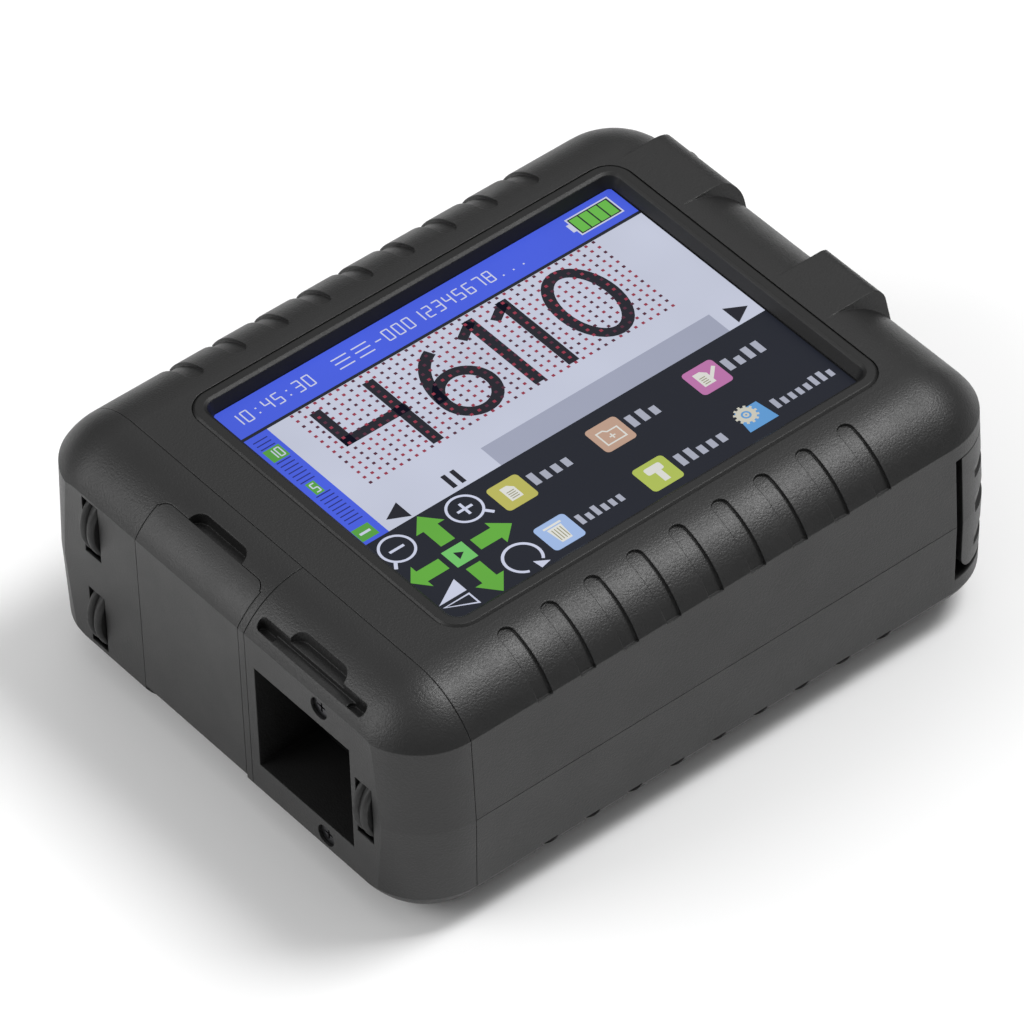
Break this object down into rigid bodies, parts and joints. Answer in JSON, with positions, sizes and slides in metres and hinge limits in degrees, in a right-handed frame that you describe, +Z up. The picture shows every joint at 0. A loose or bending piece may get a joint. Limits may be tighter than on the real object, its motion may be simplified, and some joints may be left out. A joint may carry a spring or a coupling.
{
  "type": "handheld date code inkjet printer",
  "caption": "Handheld date code inkjet printer: touch display on top, print window and guide wheels on the front face, parked nozzle cap, hinged tail cover.",
  "frame": {"origin": "centre of the flat base", "axes": "+Z up through the display, +X from the print face to the tail, +Y across the case away from the print window"},
  "size_m": [0.1068, 0.0835, 0.0402],
  "materials": {
    "case_plastic": "fine spark-eroded texture",
    "cap_plastic": "fine satin texture",
    "bezel_plastic": "semi-gloss",
    "seal_rubber": "soft",
    "tyre_rubber": "matt",
    "hub_plastic": "satin",
    "steel": "ground",
    "black_steel": "black oxide",
    "touch_glass": "polished",
    "screen": "lit display",
    "circuit": "solder mask",
    "chip": "moulded",
    "ribbon": "polyimide film",
    "bay_plastic": "matt",
    "gold": "plated",
    "cell_wrap": "shrink film",
    "plug_plastic": "natural",
    "button_rubber": "matt",
    "port_metal": "stamped"
  },
  "bodies": {
    "case": {"top_shell": "case_plastic", "bottom_shell": "case_plastic", "left_end_cap": "case_plastic", "right_end_cap": "case_plastic", "hinge_pins": "steel", "display_bezel": "bezel_plastic", "touch_panel": "touch_glass", "lcd_module": "screen", "main_board": "circuit", "board_chips": "chip", "lcd_ribbon": "ribbon", "cartridge_bay": "bay_plastic", "contact_board": "circuit", "contact_springs": "gold", "battery_pack": "cell_wrap", "battery_plug": "plug_plastic", "guide_axles": "steel", "encoder_sensor": "circuit", "power_switch": "chip", "print_switch": "chip", "print_switch_board": "circuit", "usb_port": "port_metal", "power_jack": "chip", "buzzer": "chip", "shell_screws": "black_steel", "face_screws": "black_steel", "board_screws": "steel"},
    "upper_wheel": {"upper_wheel_hub": "hub_plastic", "upper_wheel_tyre": "tyre_rubber"},
    "lower_wheel": {"lower_wheel_hub": "hub_plastic", "lower_wheel_tyre": "tyre_rubber"},
    "encoder_wheel": {"encoder_wheel_hub": "hub_plastic", "encoder_wheel_tyre": "tyre_rubber", "encoder_shaft": "steel", "encoder_magnet": "steel"},
    "nozzle_cap": {"nozzle_cap": "cap_plastic", "cap_seal": "seal_rubber"},
    "tail_cover": {"tail_cover": "cap_plastic"},
    "power_button": {"power_button": "button_rubber"},
    "print_button": {"print_button": "button_rubber"}
  },
  "joints": [
    {"name": "upper_wheel_spin", "type": "hinge", "parent": "case", "child": "upper_wheel", "pos_m": [-0.0468, 0.0275, 0.0288], "axis": [0, 1, 0], "continuous": true},
    {"name": "lower_wheel_spin", "type": "hinge", "parent": "case", "child": "lower_wheel", "pos_m": [-0.0468, 0.0275, 0.0118], "axis": [0, 1, 0], "continuous": true},
    {"name": "encoder_wheel_spin", "type": "hinge", "parent": "case", "child": "encoder_wheel", "pos_m": [-0.0468, -0.03085, 0.0199], "axis": [0, 1, 0], "continuous": true},
    {"name": "nozzle_cap_pull", "type": "slide", "parent": "case", "child": "nozzle_cap", "axis": [-1, 0, 0], "range_m": [0, 0.012]},
    {"name": "tail_cover_hinge", "type": "hinge", "parent": "case", "child": "tail_cover", "pos_m": [0.0514, 0, 0.0297], "axis": [0, -1, 0], "range_deg": [0, 90]},
    {"name": "power_button_press", "type": "slide", "parent": "case", "child": "power_button", "axis": [-1, 0, 0], "range_m": [0, 0.0006], "stiffness_N_per_m": 120},
    {"name": "print_button_press", "type": "slide", "parent": "case", "child": "print_button", "axis": [0, -1, 0], "range_m": [0, 0.0006], "stiffness_N_per_m": 120}
  ]
}
